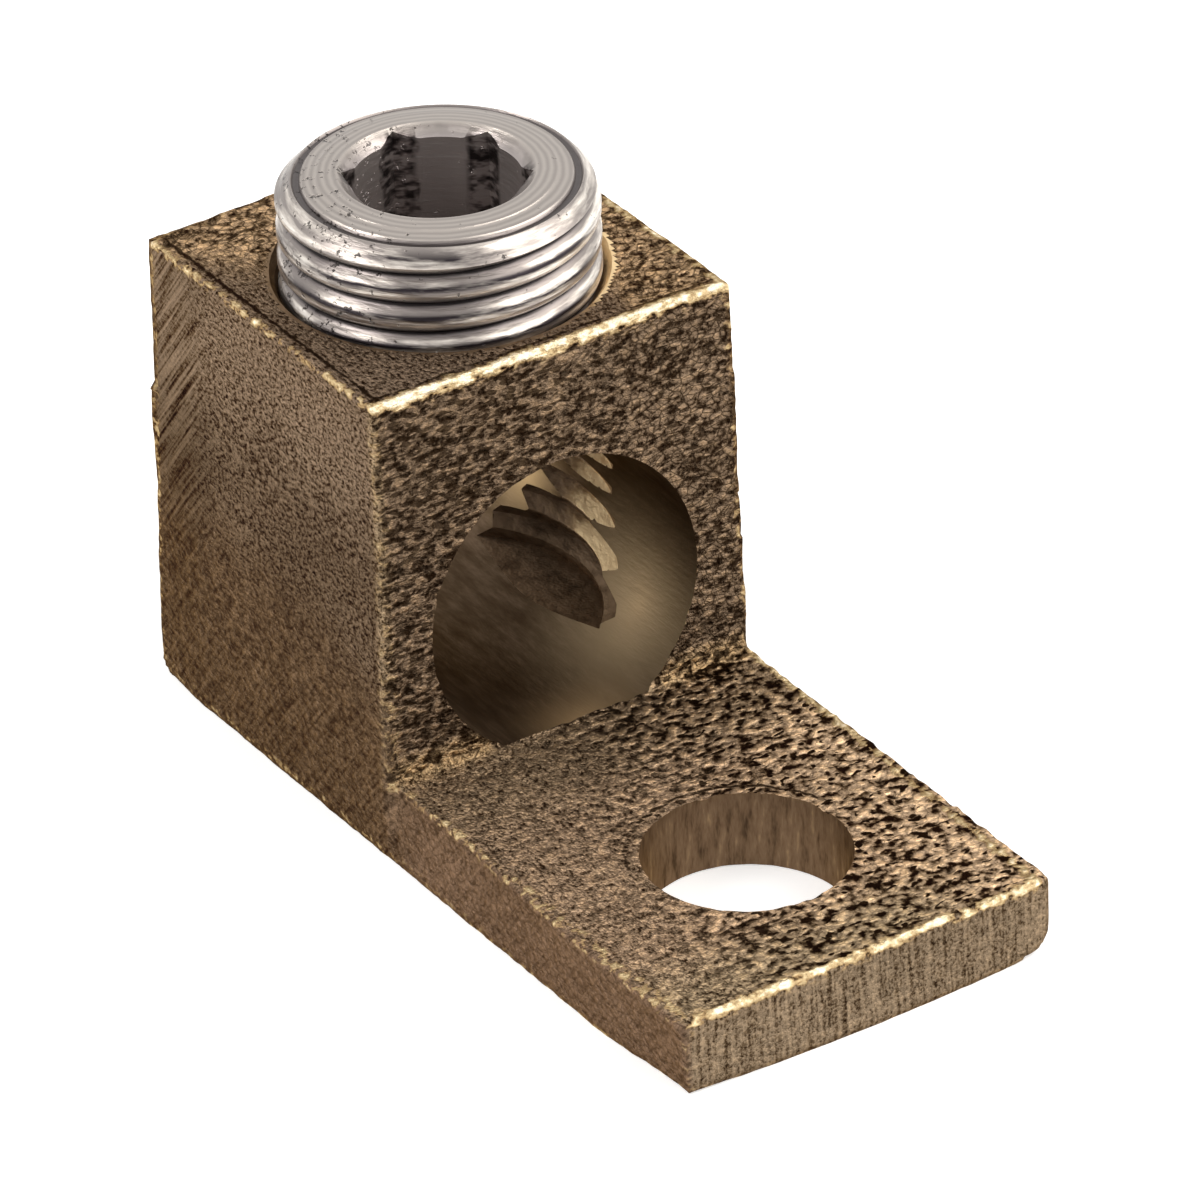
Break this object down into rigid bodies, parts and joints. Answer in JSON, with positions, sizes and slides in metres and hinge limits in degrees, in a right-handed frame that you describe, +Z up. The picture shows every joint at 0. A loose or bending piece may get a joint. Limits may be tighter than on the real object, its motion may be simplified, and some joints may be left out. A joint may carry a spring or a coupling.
{
  "type": "mechanical cable lug",
  "caption": "Cast bronze block lug with a flat stud tongue, a through cable bore and a hex socket set screw that clamps the stripped cable.",
  "frame": {"origin": "on the axis of the stud hole, at the flat underside of the tongue", "axes": "+Z up out of the stud hole and along the set screw, +X to the free end of the tongue, the cable enters from -X"},
  "size_m": [0.0465, 0.0208, 0.0299],
  "materials": {
    "cast_bronze": "sand cast, tarnished brown, bare metal on worn edges",
    "plated_steel": "turned and plated, scuffed"
  },
  "bodies": {
    "lug": {"lug_body": "cast_bronze"},
    "screw": {"set_screw": "plated_steel"}
  },
  "joints": [
    {"name": "screw_travel", "type": "slide", "parent": "lug", "child": "screw", "axis": [0, 0, 1], "range_m": [-0.01111, 0.00317]}
  ]
}
